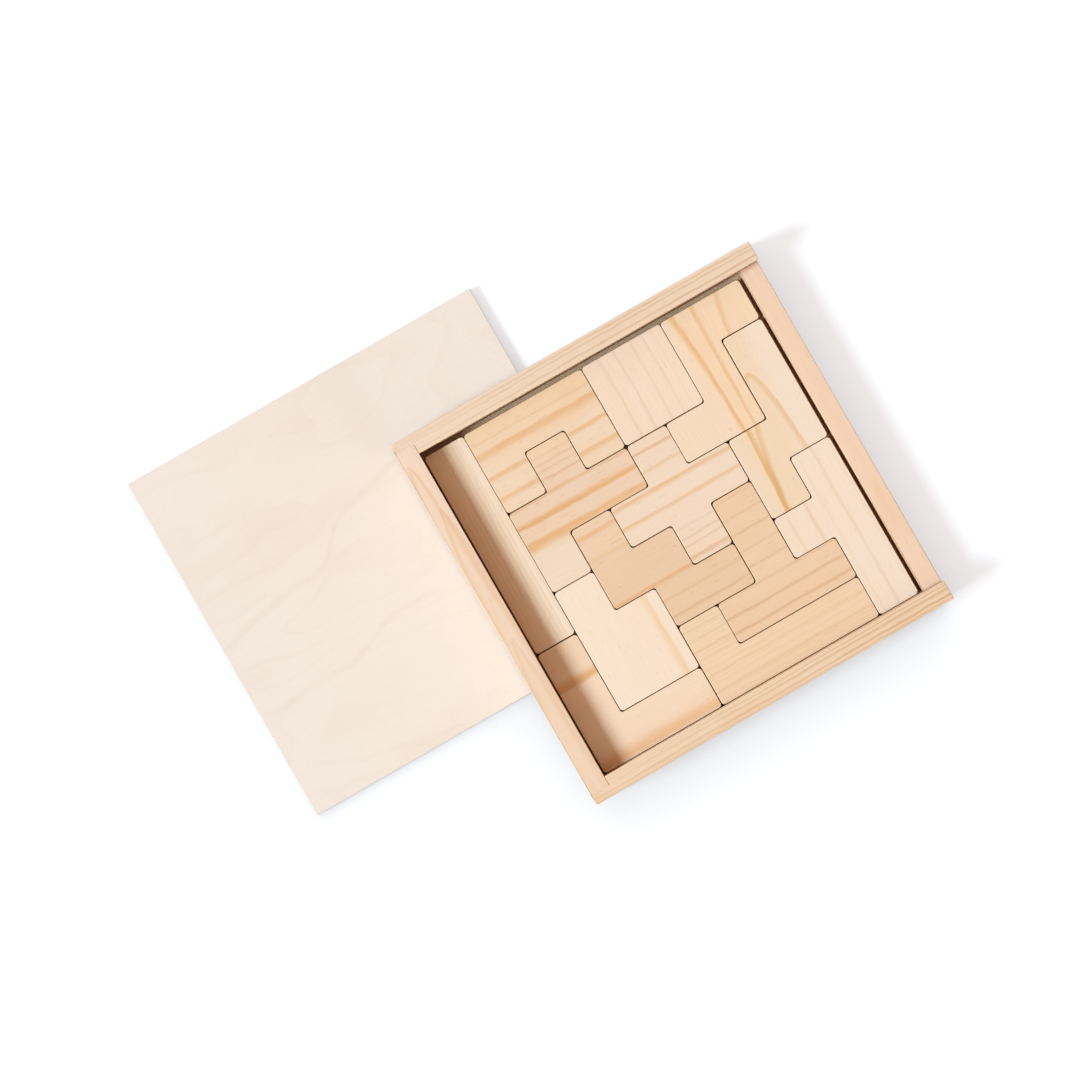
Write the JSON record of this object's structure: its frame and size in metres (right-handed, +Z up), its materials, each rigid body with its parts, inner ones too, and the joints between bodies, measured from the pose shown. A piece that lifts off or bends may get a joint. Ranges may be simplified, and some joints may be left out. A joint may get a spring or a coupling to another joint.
{
  "type": "packing puzzle",
  "caption": "Square wooden tray packed with flat interlocking pieces made of square cells, leaning on its thin sliding lid.",
  "frame": {"origin": "on the table, at the centre of the footprint of the tray and the lid together", "axes": "+X along the tray's back wall to its low wall, +Y to the tray's back wall, +Z up"},
  "size_m": [0.233, 0.1804, 0.0228],
  "materials": {
    "pine_wall": "planed, unfinished",
    "pine_piece": "sanded, unfinished",
    "ply_lid": "sanded birch plywood, unfinished",
    "ply_floor": "sanded birch plywood, unfinished"
  },
  "bodies": {
    "tray": {"tray_back_wall": "pine_wall", "tray_front_wall": "pine_wall", "tray_left_wall": "pine_wall", "tray_right_wall": "pine_wall", "tray_floor": "ply_floor"},
    "lid": {"lid": "ply_lid"},
    "piece_i": {"piece_i": "pine_piece"},
    "piece_u": {"piece_u": "pine_piece"},
    "piece_f": {"piece_f": "pine_piece"},
    "piece_square": {"piece_square": "pine_piece"},
    "piece_z": {"piece_z": "pine_piece"},
    "piece_n": {"piece_n": "pine_piece"},
    "piece_y": {"piece_y": "pine_piece"},
    "piece_x": {"piece_x": "pine_piece"},
    "piece_w": {"piece_w": "pine_piece"},
    "piece_t": {"piece_t": "pine_piece"},
    "piece_p": {"piece_p": "pine_piece"},
    "piece_v": {"piece_v": "pine_piece"},
    "piece_l": {"piece_l": "pine_piece"}
  },
  "joints": [
    {"name": "lid_slide", "type": "slide", "parent": "tray", "child": "lid", "axis": [-1, 0, 0], "range_m": [0, 0.045]},
    {"name": "piece_i_lift", "type": "slide", "parent": "tray", "child": "piece_i", "axis": [0.033, 0, 0.9995], "range_m": [0, 0.03]},
    {"name": "piece_u_lift", "type": "slide", "parent": "tray", "child": "piece_u", "axis": [0.033, 0, 0.9995], "range_m": [0, 0.03]},
    {"name": "piece_f_lift", "type": "slide", "parent": "tray", "child": "piece_f", "axis": [0.033, 0, 0.9995], "range_m": [0, 0.03]},
    {"name": "piece_square_lift", "type": "slide", "parent": "tray", "child": "piece_square", "axis": [0.033, 0, 0.9995], "range_m": [0, 0.03]},
    {"name": "piece_z_lift", "type": "slide", "parent": "tray", "child": "piece_z", "axis": [0.033, 0, 0.9995], "range_m": [0, 0.03]},
    {"name": "piece_n_lift", "type": "slide", "parent": "tray", "child": "piece_n", "axis": [0.033, 0, 0.9995], "range_m": [0, 0.03]},
    {"name": "piece_y_lift", "type": "slide", "parent": "tray", "child": "piece_y", "axis": [0.033, 0, 0.9995], "range_m": [0, 0.03]},
    {"name": "piece_x_lift", "type": "slide", "parent": "tray", "child": "piece_x", "axis": [0.033, 0, 0.9995], "range_m": [0, 0.03]},
    {"name": "piece_w_lift", "type": "slide", "parent": "tray", "child": "piece_w", "axis": [0.033, 0, 0.9995], "range_m": [0, 0.03]},
    {"name": "piece_t_lift", "type": "slide", "parent": "tray", "child": "piece_t", "axis": [0.033, 0, 0.9995], "range_m": [0, 0.03]},
    {"name": "piece_p_lift", "type": "slide", "parent": "tray", "child": "piece_p", "axis": [0.033, 0, 0.9995], "range_m": [0, 0.03]},
    {"name": "piece_v_lift", "type": "slide", "parent": "tray", "child": "piece_v", "axis": [0.033, 0, 0.9995], "range_m": [0, 0.03]},
    {"name": "piece_l_lift", "type": "slide", "parent": "tray", "child": "piece_l", "axis": [0.033, 0, 0.9995], "range_m": [0, 0.03]}
  ]
}
